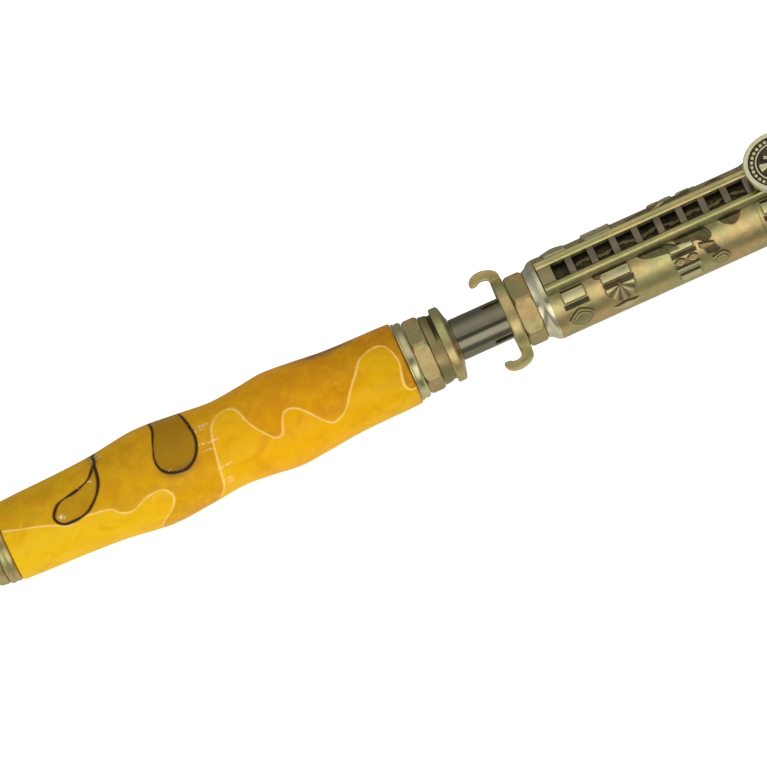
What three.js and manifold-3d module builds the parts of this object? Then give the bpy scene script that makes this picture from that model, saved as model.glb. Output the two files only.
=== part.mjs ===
// A twist ballpoint pen with a turned resin barrel, hose-coupling fittings and a ladder-shaped clip.
// Millimetres. The pen lies along X with its nozzle at -X, its finial at +X and its clip on top, at +Z.
// The upper half is drawn back along the twist sleeve, so that a stretch of the sleeve shows.
import * as THREE from 'three';
import { mergeVertices } from 'three/addons/utils/BufferGeometryUtils.js';
import Module from 'manifold-3d';

const wasm = await Module();
wasm.setup();

// ---- Driving dimensions ----

// Lengths along the pen, in order from the mouth of the nozzle. "drawn" is the open stretch of sleeve.
const length = {
  nozzle: 15.0,
  tipRing: 2.0,
  lowerBarrel: 63.6,
  trimRing: 1.5,
  lowerNut: 2.5,
  neck: 1.9,
  flange: 1.45,
  cone: 0.55,
  drawn: 8.0,
  plate: 1.75,
  upperNut: 2.9,
  collar: 1.9,
  upperBarrel: 32.9,
  clipMount: 10.4,
  finial: 8.3,
};

const start = {};
const end = {};
let penLength = 0;
for (const [name, size] of Object.entries(length)) {
  start[name] = penLength;
  penLength += size;
  end[name] = penLength;
}

const seat = 0.05; // radial gap of pressed and glued fits
const running = 0.07; // radial gap of sliding and turning fits
const faceGap = 0.04; // gap between two faces that butt together
const clear = 0.3; // gap beside the parts of the clip that move

// Outer radii
const barrelWidest = 7.47;
const ringRadius = 5.9;
const nutCorner = { lower: 5.9, upper: 5.63 };
const neckRadius = 5.34;
const flangeRadius = 5.75;
const plateRadius = 5.8;
const upperRadius = 6.2;
const sleeveRadius = 3.175;
const hubRadius = 4.0;
const nutTurn = THREE.MathUtils.degToRad(42.5); // one corner of each nut, from +Y towards +Z

// Tubes inside the barrels
const lowerTube = { inner: 3.6, outer: 4.0 };
const upperTube = { inner: 4.6, outer: 5.0 };
const spigotLength = 6.0;

// Twist mechanism and refill
const housing = { inner: 2.8, outer: 3.17, length: 43.8 };
const cam = { inner: 2.1, outer: 2.75, length: 57.0 };
const sleeveLength = 22.0;
const refillTravel = 5.0;
const twist = Math.PI; // the turn that brings the point right out
const follower = { radius: 0.45, slotWidth: 1.3, station: 66.0, turn: Math.PI / 2 };
const carriage = { radius: 2.0, length: 8.0 };
const refill = { point: 1.0, tipLength: 9.0, tipRadius: 1.15, tubeRadius: 1.55 };

// Clip and badge. Heights are above the pen's axis.
const clip = {
  top: 6.9,
  innerTop: 6.5, // each rail slopes down towards the rungs
  bottom: 6.25,
  halfWidth: 2.84,
  halfOpening: 1.39,
  rungWidth: 1.1,
  rungPitch: 3.52,
  rungs: 9,
  rungTop: 6.45,
  firstRung: 5.0,
  baseLength: 2.1,
  rootHalfWidth: 2.0,
};
const pivot = { height: 6.3, radius: 0.55, halfLength: 3.45 };
const badge = { radius: 5.0, bottom: 8.35, top: 9.3, rim: 0.55, recess: 0.55 };
const rivet = { radius: 0.75, bottom: 7.3, headRadius: 1.2, headTop: 9.55 };
const badgeStation = start.clipMount + 5.4;

// Hook-shaped claws on the upper coupling, 180 degrees apart
const claw = {
  outer: 7.67,
  inner: 5.9,
  reach: 2.95,
  width: 3.0,
  thickness: 1.2,
  turn: THREE.MathUtils.degToRad(30),
};

const fine = 32; // facets round the outer pieces
const coarse = 24; // facets round the inner pieces

// ---- Materials ----

const material = (color, roughness, metalness) =>
  new THREE.MeshStandardMaterial({ color, roughness, metalness });
const antiqueBrass = material(0x9a9462, 0.35, 1.0);
const gunmetal = material(0x5c5a58, 0.18, 1.0);
const resin = material(0xd99a10, 0.25, 0.0);
const yellowBrass = material(0xc9a646, 0.4, 1.0);
const steel = material(0xb8bcc0, 0.3, 1.0);
const plastic = material(0x2a2c30, 0.5, 0.0);

// ---- Shape helpers ----

const X = new THREE.Vector3(1, 0, 0);
const Y = new THREE.Vector3(0, 1, 0);
const Z = new THREE.Vector3(0, 0, 1);
const alongPen = new THREE.Matrix4().makeBasis(Y, Z, X); // (x, y) of a drawing becomes (y, z)
const acrossPen = new THREE.Matrix4().makeBasis(X, Z, Y.clone().negate()); // (x, y) becomes (x, z)

// A solid of revolution about the pen's axis. The profile is [station, radius] points, which run towards
// +X on the outside and back along the bore.
function turned(profile, facets = fine) {
  const points = profile.map(([station, radius]) => new THREE.Vector2(radius, station));
  return new THREE.LatheGeometry(points, facets).rotateZ(-Math.PI / 2);
}

// A turned piece with a straight bore through it, from its outer outline.
function bored(outline, boreRadius, facets = fine) {
  const first = outline[0];
  const last = outline[outline.length - 1];
  return turned([...outline, [last[0], boreRadius], [first[0], boreRadius], first], facets);
}

const tube = (from, to, outer, inner, facets = coarse) => bored([[from, outer], [to, outer]], inner, facets);

// A solid turned piece, whose outline starts and ends on the axis.
function rod(outline, facets = coarse) {
  return turned([[outline[0][0], 0], ...outline, [outline[outline.length - 1][0], 0]], facets);
}

const shapeOf = (points) => new THREE.Shape(points.map(([x, y]) => new THREE.Vector2(x, y)));

function pushedAlong(shape, from, to) {
  const geometry = new THREE.ExtrudeGeometry(shape, { depth: to - from, bevelEnabled: false });
  return geometry.applyMatrix4(alongPen).translate(from, 0, 0);
}

function pushedAcross(shape, width) {
  const geometry = new THREE.ExtrudeGeometry(shape, { depth: width, bevelEnabled: false, curveSegments: 4 });
  return geometry.applyMatrix4(acrossPen).translate(0, width / 2, 0);
}

function block(x0, x1, y0, y1, z0, z1) {
  const box = new THREE.BoxGeometry(x1 - x0, y1 - y0, z1 - z0);
  return box.translate((x0 + x1) / 2, (y0 + y1) / 2, (z0 + z1) / 2);
}

// A round bar across the pen, for the clip's pin and the holes it sits in.
const crossBar = (radius, halfLength) =>
  new THREE.CylinderGeometry(radius, radius, 2 * halfLength, 16).translate(badgeStation, 0, pivot.height);

// A round bar upright over the clip's pivot, for the rivet's hole.
const uprightBar = (radius, bottom, top) =>
  new THREE.CylinderGeometry(radius, radius, top - bottom, 16)
    .rotateX(Math.PI / 2)
    .translate(badgeStation, 0, (bottom + top) / 2);

// A rectangle between two radii, swept round the axis while it moves along it.
function sweptBlock(innerRadius, outerRadius, width, fromTurn, toTurn, stationAt, steps = 16) {
  const positions = [];
  const faces = [];
  for (let i = 0; i <= steps; i++) {
    const turn = fromTurn + ((toTurn - fromTurn) * i) / steps;
    const station = stationAt(turn);
    for (const [radius, side] of [[innerRadius, -1], [outerRadius, -1], [outerRadius, 1], [innerRadius, 1]]) {
      positions.push(station + (side * width) / 2, radius * Math.cos(turn), radius * Math.sin(turn));
    }
  }
  for (let i = 0; i < steps; i++) {
    for (let k = 0; k < 4; k++) {
      const a = 4 * i + k;
      const b = 4 * i + ((k + 1) % 4);
      faces.push(a, b + 4, b, a, a + 4, b + 4);
    }
  }
  const last = 4 * steps;
  faces.push(0, 1, 2, 0, 2, 3, last, last + 2, last + 1, last, last + 3, last + 2);
  const geometry = new THREE.BufferGeometry();
  geometry.setAttribute('position', new THREE.Float32BufferAttribute(positions, 3));
  geometry.setIndex(faces);
  return geometry;
}

// ---- Joining and cutting ----

function solid(geometry) {
  const bare = geometry.clone();
  bare.deleteAttribute('normal');
  bare.deleteAttribute('uv');
  const merged = mergeVertices(bare, 1e-4);
  const corners = merged.index.array;
  const kept = [];
  for (let i = 0; i < corners.length; i += 3) {
    const [a, b, c] = corners.slice(i, i + 3);
    if (a !== b && b !== c && c !== a) kept.push(a, b, c);
  }
  const vertProperties = new Float32Array(merged.attributes.position.array);
  return new wasm.Manifold(new wasm.Mesh({ numProp: 3, vertProperties, triVerts: new Uint32Array(kept) }));
}

function shaped(base, { add = [], cut = [], keep = [] }) {
  let result = solid(base);
  for (const geometry of add) result = result.add(solid(geometry));
  for (const geometry of cut) result = result.subtract(solid(geometry));
  for (const geometry of keep) result = result.intersect(solid(geometry));
  const { vertProperties, triVerts } = result.getMesh();
  const geometry = new THREE.BufferGeometry();
  geometry.setAttribute('position', new THREE.BufferAttribute(vertProperties, 3));
  geometry.setIndex(new THREE.BufferAttribute(triVerts, 1));
  geometry.computeVertexNormals();
  return geometry;
}

// ---- Writing end and lower barrel ----

function nozzleTip() {
  const shoulder = end.nozzle - faceGap;
  const bore = 1.75;
  const mouth = refill.tipRadius + 0.1;
  return turned([
    [0, mouth], [0, 1.9], [0.3, 2.25], [1.6, 2.35], [2.0, 1.95], [3.0, 2.15], [10.4, 4.35], [10.7, 4.95],
    [12.2, 4.95], [12.6, 4.6], [13.2, 4.6], [13.5, 5.35], [shoulder - 0.3, 5.53], [shoulder, 5.4],
    [shoulder, lowerTube.inner - seat], [end.nozzle + 7, lowerTube.inner - seat], [end.nozzle + 7, bore],
    [3.4, bore], [2.9, mouth], [0, mouth],
  ]);
}

function tipRing() {
  const radius = 5.75;
  return bored([
    [start.tipRing, radius - 0.25], [start.tipRing + 0.3, radius], [end.tipRing - 0.4, radius],
    [end.tipRing - faceGap, radius - 0.2],
  ], lowerTube.inner);
}

// The hourglass outline of the resin barrel, as [distance from its writing end, radius].
const barrelOutline = [
  [0, 5.9], [4.3, 6.1], [10.2, 6.27], [16, 6.62], [21.5, 7.34], [24.8, barrelWidest], [30.2, 7], [35, 6.57],
  [39.5, 6.92], [43.6, 7.37], [48.2, 7.05], [53.9, 6.52], [62.8, 6.32],
];

function lowerBarrel() {
  const curve = new THREE.SplineCurve(barrelOutline.map(([x, y]) => new THREE.Vector2(x, y)));
  const outline = curve.getPoints(18).map(({ x, y }) => [start.lowerBarrel + x, Math.min(y, barrelWidest)]);
  outline.push([end.lowerBarrel - faceGap, ringRadius + 0.03]);
  return bored(outline, lowerTube.outer + seat);
}

// ---- Lower coupling ----

function trimRing() {
  return bored([
    [start.trimRing, ringRadius],
    [end.trimRing - 0.3, ringRadius], [end.trimRing - faceGap, ringRadius - 0.25],
  ], hubRadius + seat);
}

// A hexagon nut, with both ends chamfered round its corners.
function nut(from, to, corner) {
  const hexagon = [...Array(6).keys()].map((i) => {
    const turn = nutTurn + (i * Math.PI) / 3;
    return [corner * Math.cos(turn), corner * Math.sin(turn)];
  });
  const chamfer = 0.55;
  const round = bored([
    [from, corner - chamfer], [from + chamfer, corner + 0.02],
    [to - chamfer, corner + 0.02], [to, corner - chamfer],
  ], hubRadius + seat);
  return shaped(pushedAlong(shapeOf(hexagon), from - 1, to + 1), { keep: [round] });
}

function couplingBody() {
  const bore = housing.outer + seat;
  return bored([
    [start.trimRing - spigotLength, lowerTube.inner - seat], [start.trimRing, lowerTube.inner - seat],
    [start.trimRing, hubRadius], [start.neck, hubRadius],
    [start.neck, neckRadius], [end.neck - 0.5, neckRadius],
    [end.neck - 0.4, 4.75], [start.flange, 4.75],
    [start.flange, flangeRadius], [end.flange - 0.3, flangeRadius],
    [end.flange, flangeRadius - 0.3], [end.cone, sleeveRadius + 0.35],
  ], bore);
}

// ---- Twist mechanism and refill ----

const advancePerTurn = refillTravel / twist;
const camStart = 47.0;

// Two tubes: the housing's slot is straight and the cam's is a helix, and one pin rides in both.
function mechanismHousing() {
  const to = end.cone - 0.1;
  const slot = block(
    follower.station - refillTravel - 1.2, follower.station + 1.2,
    -follower.slotWidth / 2, follower.slotWidth / 2, housing.inner - 1, housing.outer + 1,
  );
  return shaped(tube(to - housing.length, to, housing.outer, housing.inner), { cut: [slot] });
}

function mechanismCam() {
  const spare = 0.3; // how far the slot runs on past each end of the twist, in radians
  const stationAt = (turn) => follower.station + advancePerTurn * (turn - follower.turn);
  const slot = sweptBlock(
    cam.inner - 0.8, cam.outer + 0.8, follower.slotWidth,
    follower.turn - twist - spare, follower.turn + spare, stationAt,
  );
  return shaped(tube(camStart, camStart + cam.length, cam.outer, cam.inner), { cut: [slot] });
}

function mechanismSleeve() {
  const from = end.cone + faceGap;
  const to = from + sleeveLength;
  const inner = cam.outer + seat;
  const capThickness = 1.2;
  return turned([
    [from, inner], [from, sleeveRadius], [to - 0.4, sleeveRadius], [to, sleeveRadius - 0.4], [to, 0],
    [to - capThickness, 0], [to - capThickness, inner], [from, inner],
  ]);
}

const carriageStart = follower.station - carriage.length / 2;

function refillCarriage() {
  const pinLength = 1.6;
  const body = turned([
    [carriageStart, 1.25], [carriageStart, carriage.radius],
    [carriageStart + carriage.length, carriage.radius], [carriageStart + carriage.length, 0],
    [carriageStart + 4, 0], [carriageStart + 4, 1.25], [carriageStart, 1.25],
  ], coarse);
  const pin = new THREE.CylinderGeometry(follower.radius, follower.radius, pinLength, 12)
    .rotateX(Math.PI / 2)
    .translate(follower.station, 0, housing.outer - 0.1 - pinLength / 2);
  return shaped(body, { add: [pin] });
}

const adapterStart = carriageStart - 4.4;

function refillAdapter() {
  const shank = 1.25 - seat;
  return rod([
    [adapterStart, 1.85], [carriageStart - faceGap, 1.85], [carriageStart - faceGap, shank],
    [carriageStart + 3.6, shank],
  ]);
}

function refillTube() {
  return rod([
    [refill.point + refill.tipLength, 1.3], [refill.point + refill.tipLength + 0.5, refill.tubeRadius],
    [adapterStart - faceGap, refill.tubeRadius],
  ]);
}

function refillTip() {
  const from = refill.point;
  return rod([
    [from, 0.3], [from + 0.5, 0.5], [from + 2.4, refill.tipRadius],
    [from + refill.tipLength - faceGap, refill.tipRadius],
  ], 24);
}

// ---- Upper coupling ----

// One hooked claw in side view: it leaves the rim of the plate, arches outwards and curls down at its nose.
function clawShape() {
  const back = end.plate - 0.1;
  const nose = start.plate - claw.reach;
  const shape = new THREE.Shape();
  shape.moveTo(back, plateRadius - 0.8);
  shape.lineTo(back, plateRadius + 0.3);
  shape.quadraticCurveTo(back - 0.7, claw.outer, start.plate - 1.0, claw.outer);
  shape.quadraticCurveTo(nose + 0.1, claw.outer, nose, claw.inner + 0.4);
  shape.lineTo(nose + 0.3, claw.inner);
  shape.lineTo(nose + 0.95, claw.inner);
  const inside = claw.outer - claw.thickness;
  shape.quadraticCurveTo(nose + claw.thickness, inside + 0.2, start.plate - 0.6, claw.outer - 1.1);
  shape.lineTo(start.plate + 0.1, plateRadius - 0.1);
  shape.lineTo(start.plate + 0.3, plateRadius - 0.8);
  shape.closePath();
  return shape;
}

function clawPlate() {
  const plate = bored([
    [start.plate, plateRadius - 0.15], [start.plate + 0.15, plateRadius], [end.plate - 0.2, plateRadius],
    [end.plate - faceGap, plateRadius - 0.15],
  ], hubRadius + seat);
  const claws = [0, Math.PI].map((half) =>
    pushedAcross(clawShape(), claw.width).rotateX(claw.turn - Math.PI / 2 + half));
  return shaped(plate, { add: claws });
}

function coneCollar() {
  const from = start.plate + faceGap;
  const rise = upperRadius - 5.35;
  const flare = [0, 0.35, 0.65, 0.85, 1].map((t) => [start.collar + 1.15 * t, 5.35 + rise * t * t]);
  return bored([
    [from, hubRadius], [start.collar, hubRadius], ...flare, [end.collar - 0.1, upperRadius],
    [end.collar, upperRadius - 0.1], [end.collar, upperTube.inner - seat],
    [end.collar + spigotLength, upperTube.inner - seat],
  ], sleeveRadius + running);
}

// ---- Upper barrel, clip mount and finial ----

function upperBarrel() {
  const from = end.collar + faceGap;
  const to = end.upperBarrel - faceGap;
  return bored([
    [from, upperRadius - 0.1], [from + 0.1, upperRadius], [to - 0.2, upperRadius], [to, upperRadius - 0.2],
  ], upperTube.outer + seat);
}

function clipMount() {
  const from = start.clipMount;
  const to = end.clipMount - faceGap;
  const web = from + 1.2; // the spigot is hollow as far as this, for the screw's head
  const body = turned([
    [from - spigotLength, upperTube.inner - seat], [from, upperTube.inner - seat], [from, upperRadius - 0.2],
    [from + 0.2, upperRadius], [to - 0.2, upperRadius], [to, upperRadius - 0.2],
    [to, 2.1], [web, 2.1], [web, 3.4],
    [from - spigotLength, 3.4], [from - spigotLength, upperTube.inner - seat],
  ]);
  const notchHalf = clip.rootHalfWidth + clear;
  const earHalf = 1.3;
  const earOuter = notchHalf + 1.2;
  const earTop = badge.bottom - 0.6;
  const ears = [-1, 1].map((side) => {
    const [near, far] = [side * (notchHalf - 0.2), side * earOuter].sort((a, b) => a - b);
    return block(badgeStation - earHalf, badgeStation + earHalf, near, far, 3.5, earTop);
  });
  const notch = block(from - 0.5, badgeStation + 3.8, -notchHalf, notchHalf, 4.7, badge.top);
  return shaped(body, { add: ears, cut: [notch, crossBar(pivot.radius + seat, 6)] });
}

function ladderClip() {
  const from = end.collar + 0.15;
  const to = badgeStation - 1.9;
  const { halfWidth, halfOpening, top, innerTop, bottom } = clip;
  const bevel = 0.12;
  const rail = (side) => shapeOf([
    [side * halfOpening, bottom], [side * halfWidth, bottom], [side * halfWidth, top - bevel],
    [side * (halfWidth - bevel), top], [side * halfOpening, innerTop],
  ]);
  const cross = (x0, x1, z1) => block(x0, x1, -halfOpening - 0.3, halfOpening + 0.3, bottom, z1);
  const firstRung = start.upperBarrel + clip.firstRung;
  const rungs = [...Array(clip.rungs).keys()].map((i) => {
    const centre = firstRung + i * clip.rungPitch;
    return cross(centre - clip.rungWidth / 2, centre + clip.rungWidth / 2, clip.rungTop);
  });
  const bridge = cross(to - 2.6, to, innerTop);
  const underBadge = badge.bottom - 0.1;
  const root = pushedAcross(shapeOf([
    [to - 2.6, bottom], [to - 1.2, 5.3], [badgeStation + 2.6, 5.3], [badgeStation + 3.2, 5.9],
    [badgeStation + 1.6, underBadge], [badgeStation - 1.6, underBadge], [to - 1.5, innerTop],
  ]), 2 * clip.rootHalfWidth);
  return shaped(pushedAlong(rail(1), from, to), {
    add: [
      pushedAlong(rail(-1), from, to), cross(from, from + clip.baseLength, innerTop), ...rungs, bridge, root,
    ],
    cut: [crossBar(pivot.radius + running, 4), uprightBar(rivet.radius + seat, rivet.bottom - seat, 9)],
  });
}

const clipPivotPin = () => crossBar(pivot.radius, pivot.halfLength);

// A leaf spring on the floor of the notch. Its raised end pushes the clip's tail up, so the clip shuts.
function clipSpring() {
  const floor = 4.75;
  const leaf = 0.18;
  const tail = badgeStation + 2.4;
  return pushedAcross(shapeOf([
    [badgeStation - 2.2, floor], [badgeStation + 2.6, floor], [badgeStation + 2.6, floor + leaf],
    [badgeStation - 1.4, floor + leaf], [badgeStation - 1.4, floor + leaf + 0.04],
    [tail, 5.05], [tail, 5.05 + leaf],
    [badgeStation - 2.2, floor + 2 * leaf],
  ]), 2.4);
}

function badgeDisc() {
  const { radius, bottom, top, rim, recess } = badge;
  const bore = rivet.radius + seat;
  const field = top - recess;
  const points = [
    [bore, bottom], [radius, bottom], [radius, top - 0.15], [radius - 0.15, top], [radius - rim, top],
    [radius - rim, field], [2.7, field], [2.6, top - 0.1], [2.1, top - 0.1], [2.0, field],
    [bore, field], [bore, bottom],
  ];
  return new THREE.LatheGeometry(points.map(([r, z]) => new THREE.Vector2(r, z)), fine)
    .rotateX(Math.PI / 2)
    .translate(badgeStation, 0, 0);
}

function badgeRivet() {
  const { radius, bottom, headRadius, headTop } = rivet;
  const under = badge.top - badge.recess + faceGap;
  const points = [
    [0, bottom], [radius, bottom], [radius, under], [headRadius, under], [headRadius * 0.8, headTop - 0.15],
    [0, headTop],
  ];
  return new THREE.LatheGeometry(points.map(([r, z]) => new THREE.Vector2(r, z)), 24)
    .rotateX(Math.PI / 2)
    .translate(badgeStation, 0, 0);
}

const screw = { radius: 2.05, headRadius: 3.2, headLength: 1.5 };

function finialScrew() {
  const headEnd = start.clipMount + 1.2 - faceGap;
  return rod([
    [headEnd - screw.headLength, screw.headRadius], [headEnd, screw.headRadius], [headEnd, screw.radius],
    [start.finial + 4.5, screw.radius],
  ]);
}

function finial() {
  const from = start.finial;
  const bore = screw.radius + seat;
  const face = 2.2;
  return turned([
    [from, bore], [from, upperRadius - 0.2], [from + 0.2, upperRadius], [from + 1.5, upperRadius],
    [from + 1.7, 5.5], [from + 2.2, 5.5], [from + 2.4, 5.9], [from + 4.0, 5.75], [from + 5.4, 5.1],
    [from + 6.4, 4.1], [from + 6.9, 3.2], [from + 7.0, 2.5], [from + 7.9, 2.5], [from + 8.3, face],
    [from + 8.3, 0], [from + 4.7, 0], [from + 4.7, bore], [from, bore],
  ]);
}

// ---- Assembly ----

const lowerLining = tube(
  start.lowerBarrel + 0.3, start.trimRing - 0.3, lowerTube.outer, lowerTube.inner, fine,
);
const upperLining = tube(end.collar + 0.3, start.clipMount - 0.3, upperTube.outer, upperTube.inner, fine);

const pieces = [
  ['nozzle_tip', nozzleTip(), antiqueBrass],
  ['tip_ring', tipRing(), antiqueBrass],
  ['lower_barrel', lowerBarrel(), resin],
  ['lower_barrel_tube', lowerLining, yellowBrass],
  ['lower_trim_ring', trimRing(), antiqueBrass],
  ['lower_coupling_nut', nut(start.lowerNut, end.lowerNut - faceGap, nutCorner.lower), antiqueBrass],
  ['lower_coupling_body', couplingBody(), antiqueBrass],
  ['mechanism_housing', mechanismHousing(), steel],
  ['mechanism_cam', mechanismCam(), plastic],
  ['mechanism_sleeve', mechanismSleeve(), gunmetal],
  ['refill_carriage', refillCarriage(), steel],
  ['refill_adapter', refillAdapter(), plastic],
  ['refill_tube', refillTube(), steel],
  ['refill_tip', refillTip(), yellowBrass],
  ['claw_plate', clawPlate(), antiqueBrass],
  ['upper_coupling_nut', nut(start.upperNut, end.upperNut - faceGap, nutCorner.upper), antiqueBrass],
  ['cone_collar', coneCollar(), antiqueBrass],
  ['upper_barrel_tube', upperLining, yellowBrass],
  ['upper_barrel', upperBarrel(), antiqueBrass],
  ['clip_mount', clipMount(), antiqueBrass],
  ['clip_pivot_pin', clipPivotPin(), steel],
  ['clip_spring', clipSpring(), steel],
  ['ladder_clip', ladderClip(), antiqueBrass],
  ['badge', badgeDisc(), antiqueBrass],
  ['badge_rivet', badgeRivet(), antiqueBrass],
  ['finial_screw', finialScrew(), steel],
  ['finial', finial(), antiqueBrass],
];

const pen = new THREE.Group();
for (const [name, geometry, finish] of pieces) {
  const mesh = new THREE.Mesh(geometry, finish);
  mesh.name = name;
  pen.add(mesh);
}
// The origin is on the surface that the pen lies on, under the middle of its length.
pen.position.set(-penLength / 2, 0, barrelWidest);

export default pen;
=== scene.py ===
"""A twist ballpoint pen: resin barrel, brass hose-coupling fittings, cast upper barrel and a ladder clip.

The pen lies along X with its nozzle at -X and its clip on top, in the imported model's frame. The shape
helpers take millimetres, and angles in degrees round the pen that start at +Y and turn towards +Z.
"""

import math

import bmesh
import bpy
import numpy as np
from mathutils import Matrix, Vector
from mathutils.kdtree import KDTree


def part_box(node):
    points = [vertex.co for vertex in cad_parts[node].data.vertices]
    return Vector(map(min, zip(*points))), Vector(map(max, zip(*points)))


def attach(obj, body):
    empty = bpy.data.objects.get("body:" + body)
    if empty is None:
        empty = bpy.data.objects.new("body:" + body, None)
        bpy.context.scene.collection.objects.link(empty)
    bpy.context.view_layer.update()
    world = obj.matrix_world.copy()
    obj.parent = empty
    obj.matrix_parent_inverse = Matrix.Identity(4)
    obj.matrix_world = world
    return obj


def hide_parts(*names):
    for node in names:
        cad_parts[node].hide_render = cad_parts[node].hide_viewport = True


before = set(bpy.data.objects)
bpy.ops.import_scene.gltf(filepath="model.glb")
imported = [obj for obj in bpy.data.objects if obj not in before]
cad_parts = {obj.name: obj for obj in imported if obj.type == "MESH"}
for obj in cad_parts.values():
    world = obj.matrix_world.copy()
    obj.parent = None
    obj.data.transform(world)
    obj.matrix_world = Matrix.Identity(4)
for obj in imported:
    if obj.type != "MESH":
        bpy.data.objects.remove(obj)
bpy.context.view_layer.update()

MM = 0.001
FACING = 120.0  # the angle round the pen that faces the camera
scene = bpy.context.scene


def span(node):
    """Where a CAD node starts and ends along the pen, in millimetres."""
    low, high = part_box(node)
    return low.x / MM, high.x / MM


AXIS_HEIGHT = sum(corner.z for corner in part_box("mechanism_sleeve")) / 2 / MM
HUB_BORE = 4.05  # the fittings' and the resin barrel's bore, round the coupling's hub
CAST_RADIUS = 6.2  # the cast barrel's smooth bands


def outward(degrees):
    """The direction across the pen at an angle round it."""
    return Vector((0, math.cos(math.radians(degrees)), math.sin(math.radians(degrees))))


def angles(count, whole=2 * np.pi):
    """Evenly spaced angles round a whole turn."""
    return np.linspace(0, whole, count, endpoint=False)


def angles_up(count):
    """The same angles in degrees up from the middle of the view, from -180 to 180."""
    return (FACING - angles(count, 360) + 180) % 360 - 180


# ---- Mesh helpers ----


def piece_from(name, points, faces, body, finish, replaced, sharp=38):
    """A new smooth-shaded piece from points in millimetres, riding on a body."""
    mesh = bpy.data.meshes.new(name)
    mesh.from_pydata((np.asarray(points) * MM).tolist(), [], faces)
    mesh.shade_smooth()
    mesh.set_sharp_from_angle(angle=math.radians(sharp))
    piece = bpy.data.objects.new(name, mesh)
    scene.collection.objects.link(piece)
    return settled(piece, body, finish, replaced)


def settled(piece, body, finish, replaced):
    """Gives a piece its body and its material, and hides the CAD nodes it stands for."""
    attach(piece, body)
    "antique_brass" if finish in brasses else finish
    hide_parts(*replaced)
    piece.data.materials.clear()
    piece.data.materials.append(finishes[finish])
    return piece


def softened(outline, radius):
    """An outline with each of its inner corners rounded."""
    points = [np.array(point, float) for point in outline]
    smooth = [points[0]]
    for before, corner, after in zip(points, points[1:], points[2:]):
        back, on = before - corner, after - corner
        reach = min(radius, 0.45 * np.linalg.norm(back), 0.45 * np.linalg.norm(on))
        first = corner + back / np.linalg.norm(back) * reach
        last = corner + on / np.linalg.norm(on) * reach
        for t in (0, 0.25, 0.5, 0.75, 1):
            smooth.append((1 - t) ** 2 * first + 2 * t * (1 - t) * corner + t**2 * last)
    smooth.append(points[-1])
    return np.array(smooth)


def through(points, steps):
    """A smooth curve through the points (uniform Catmull-Rom)."""
    p = np.array([points[0], *points, points[-1]], float)
    t = np.linspace(0, 1, steps, endpoint=False)[:, None]
    curve = []
    for a, b, c, d in zip(p, p[1:], p[2:], p[3:]):
        slope0, slope1 = (c - a) / 2, (d - b) / 2
        curve.append(
            (2 * b - 2 * c + slope0 + slope1) * t**3
            + (-3 * b + 3 * c - 2 * slope0 - slope1) * t**2
            + slope0 * t
            + b
        )
    return np.vstack([*curve, p[-1:]])


def skin(rows, columns, joined=False, flipped=False):
    """The faces of a grid of rings. joined ties the last ring to the first. Otherwise two centre points,
    which follow the grid's own points, close its ends. flipped turns every face over."""
    i = np.arange(rows if joined else rows - 1)[:, None]
    j = np.arange(columns)[None, :]
    i1, j1 = (i + 1) % rows, (j + 1) % columns
    corners = (i * columns + j, i * columns + j1, i1 * columns + j1, i1 * columns + j)
    faces = np.stack(corners, -1).reshape(-1, 4).tolist()
    if not joined:
        first_centre, last_ring = rows * columns, (rows - 1) * columns
        for k in range(columns):
            k1 = (k + 1) % columns
            faces.append([first_centre, k1, k])
            faces.append([first_centre + 1, last_ring + k, last_ring + k1])
    if flipped:
        faces = [[face[0], *face[:0:-1]] for face in faces]
    return faces


def bored(x, r, bore):
    """A surface of rings with two more inside it, which make a bore from its last ring to its first."""
    return np.concatenate([x, x[-1:], x[:1]]), np.vstack([r, np.full((2, r.shape[1]), bore)])


def rings(name, x, r, body, finish, replaced, solid=False, sharp=38):
    """A surface of rings round the pen, one row of r for each ring. The rows run towards +X on the outside.
    The last ring meets the first along a bore, unless the piece is solid."""
    rows, columns = r.shape
    turn = angles(columns)
    along = np.broadcast_to(np.asarray(x, float)[:, None], r.shape)
    points = np.stack([along, r * np.cos(turn), AXIS_HEIGHT + r * np.sin(turn)], -1).reshape(-1, 3)
    if solid:
        points = np.vstack([points, [(x[0], 0, AXIS_HEIGHT), (x[-1], 0, AXIS_HEIGHT)]])
    faces = skin(rows, columns, joined=not solid)
    return piece_from(name, points, faces, body, finish, replaced, sharp)


def turned(name, outline, body, finish, replaced, bore=None, corner=0.08, columns=160):
    """A lathe-turned piece. With a bore it is a sleeve, and without one it is solid."""
    outline = list(outline)
    if bore is not None:
        outline = [(outline[0][0], bore), *outline, (outline[-1][0], bore)]
    profile = softened(outline, corner)
    r = np.repeat(profile[:, 1:], columns, axis=1)
    return rings(name, profile[:, 0], r, body, finish, replaced, solid=bore is None)


def bevelled(points, faces, width, segments=3):
    """A mesh with rounded edges, as points in millimetres and faces."""
    mesh = bpy.data.meshes.new("blank")
    mesh.from_pydata([tuple(p) for p in points], [], faces)
    bm = bmesh.new()
    bm.from_mesh(mesh)
    bmesh.ops.recalc_face_normals(bm, faces=bm.faces)
    edges = [e for e in bm.edges if e.is_manifold and e.calc_face_angle() > math.radians(28)]
    bmesh.ops.bevel(bm, geom=edges, offset=width, segments=segments, profile=0.5, affect="EDGES")
    bm.verts.index_update()
    made = [tuple(v.co) for v in bm.verts], [tuple(v.index for v in f.verts) for f in bm.faces]
    bm.free()
    bpy.data.meshes.remove(mesh)
    return made


def prism(outline, low, high, place):
    """A flat outline pushed from low to high. place turns (u, v, depth) into a point."""
    count = len(outline)
    points = [place(u, v, depth) for depth in (low, high) for u, v in outline]
    faces = [tuple(range(count)), tuple(range(2 * count - 1, count - 1, -1))]
    faces += [(k, (k + 1) % count, (k + 1) % count + count, k + count) for k in range(count)]
    return points, faces


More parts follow.
